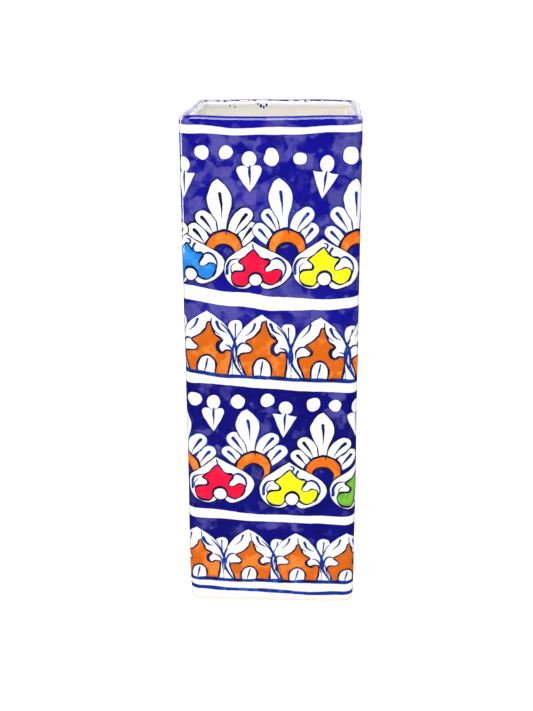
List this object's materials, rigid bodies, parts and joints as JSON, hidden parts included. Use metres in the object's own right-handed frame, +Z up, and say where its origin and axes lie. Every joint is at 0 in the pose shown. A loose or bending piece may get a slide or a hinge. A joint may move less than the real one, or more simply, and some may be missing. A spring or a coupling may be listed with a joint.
{
  "type": "square pottery vase",
  "caption": "Tall square pottery vase with rounded corners, a rolled lip and hand-painted floral and arch bands in cobalt, orange, red and yellow on white glaze; it holds cut flowers.",
  "frame": {"origin": "centre of the foot, on the surface that the vase stands on", "axes": "+Z up along the height; -Y out of the front face; +X to the right seen from the front"},
  "size_m": [0.1034, 0.1034, 0.3032],
  "materials": {
    "terracotta": "bare fired clay, matte and slightly gritty",
    "white_glaze": "opaque white tin glaze, glossy and faintly wavy",
    "cream_glaze": "thin cream glaze of the inside, glossy",
    "cobalt_paint": "brushed cobalt under a glossy fired glaze, with lighter washes",
    "orange_paint": "brushed orange, glossy",
    "red_paint": "raised red enamel, glossy",
    "yellow_paint": "bright yellow enamel, glossy",
    "sky_blue_paint": "brushed sky blue, glossy",
    "green_paint": "brushed leaf green, glossy",
    "navy_paint": "thin navy brush lines, glossy"
  },
  "bodies": {
    "root": {"floor_slab": "terracotta", "front_wall": "terracotta", "right_wall": "terracotta", "back_wall": "terracotta", "left_wall": "terracotta", "front_right_seam_coil": "terracotta", "back_right_seam_coil": "terracotta", "back_left_seam_coil": "terracotta", "front_left_seam_coil": "terracotta", "floor_coil": "terracotta", "lip_coil": "terracotta", "outer_glaze": "white_glaze", "inner_glaze": "cream_glaze", "rim_glaze": "white_glaze", "rim_paint": "cobalt_paint", "upper_flower_cobalt": "cobalt_paint", "upper_arch_cobalt": "cobalt_paint", "lower_flower_cobalt": "cobalt_paint", "lower_arch_cobalt": "cobalt_paint", "foot_line": "cobalt_paint", "orange_moons": "orange_paint", "orange_gates": "orange_paint", "red_blossoms": "red_paint", "yellow_blossoms": "yellow_paint", "blue_blossoms": "sky_blue_paint", "green_blossoms": "green_paint", "navy_strokes": "navy_paint"}
  },
  "joints": []
}
